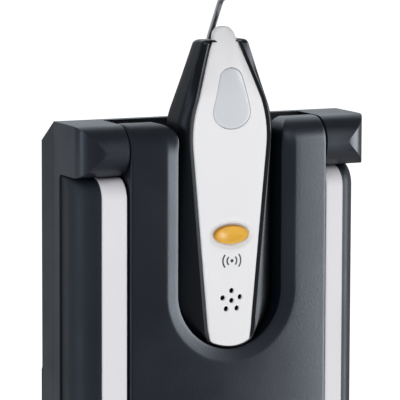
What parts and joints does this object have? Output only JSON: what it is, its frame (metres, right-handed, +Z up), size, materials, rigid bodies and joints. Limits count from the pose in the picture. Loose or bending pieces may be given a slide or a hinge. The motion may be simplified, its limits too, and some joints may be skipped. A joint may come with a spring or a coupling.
{
  "type": "circuit breaker finder",
  "caption": "Upright breaker finder: a dark grippy transmitter with a fold-out rear stand holds a slim pale receiver with a drop-shaped lamp, oval test button and wire hook.",
  "frame": {"origin": "centre of the overall box, at the flat base the part stands on", "axes": "+Z up along the transmitter's height, front of the part faces -Y, +X to the right seen from the front"},
  "size_m": [0.0804, 0.0295, 0.1577],
  "materials": {
    "dark_plastic": "fine-grained matt anthracite",
    "cover_plastic": "fine-grained matt dark grey",
    "pale_plastic": "satin off-white",
    "white_plastic": "satin white",
    "black_plastic": "satin black",
    "grip_rubber": "matt soft-touch dark grey",
    "pad_rubber": "matt black",
    "lens_plastic": "milky grey, translucent",
    "ring_plastic": "satin pale grey",
    "amber_plastic": "translucent amber",
    "led_plastic": "clear",
    "circuit_board": "green solder mask",
    "ferrite_core": "dull dark grey",
    "capacitor_case": "yellow film case",
    "fuse_glass": "end caps and tube in one",
    "contact_brass": "bright",
    "coil_copper": "enamelled winding",
    "socket_black": "gloss black",
    "socket_red": "gloss red",
    "screw_steel": "zinc-plated",
    "pin_steel": "ground",
    "magnet_nickel": "nickel-plated",
    "wire_chrome": "polished"
  },
  "bodies": {
    "transmitter": {"front_shell": "dark_plastic", "mid_frame": "pale_plastic", "grip_left": "grip_rubber", "grip_right": "grip_rubber", "rear_shell": "dark_plastic", "shell_screws": "screw_steel", "hinge_pins": "pin_steel", "main_board": "circuit_board", "transformer": "ferrite_core", "capacitor": "capacitor_case", "fuse": "fuse_glass", "fuse_clips": "contact_brass", "socket_bush_left": "socket_black", "socket_bush_right": "socket_red", "socket_sleeves": "contact_brass", "holding_magnets": "magnet_nickel"},
    "stand": {"stand_frame": "dark_plastic", "rear_cover": "cover_plastic", "cover_screws": "screw_steel", "cover_pads": "pad_rubber"},
    "receiver": {"receiver_shell": "black_plastic", "receiver_cover": "white_plastic", "indicator_lens": "lens_plastic", "button_ring": "ring_plastic", "receiver_board": "circuit_board", "button_switch": "black_plastic", "indicator_leds": "led_plastic", "buzzer": "black_plastic", "sensor_coil": "coil_copper", "coin_cell": "magnet_nickel", "cell_contacts": "contact_brass", "battery_door": "black_plastic", "door_screw": "screw_steel", "keeper_plate": "pin_steel", "receiver_screws": "screw_steel", "wire_hook": "wire_chrome"},
    "button": {"test_button": "amber_plastic"}
  },
  "joints": [
    {"name": "stand_hinge", "type": "hinge", "parent": "transmitter", "child": "stand", "pos_m": [0, -0.0062, 0.1185], "axis": [1, 0, 0], "range_deg": [0, 20]},
    {"name": "receiver_slide", "type": "slide", "parent": "transmitter", "child": "receiver", "axis": [0, 0, 1], "range_m": [0, 0.06]},
    {"name": "test_button_press", "type": "slide", "parent": "receiver", "child": "button", "axis": [0, 1, 0], "range_m": [0, 0.0008], "stiffness_N_per_m": 600, "springref_m": -0.0008}
  ]
}
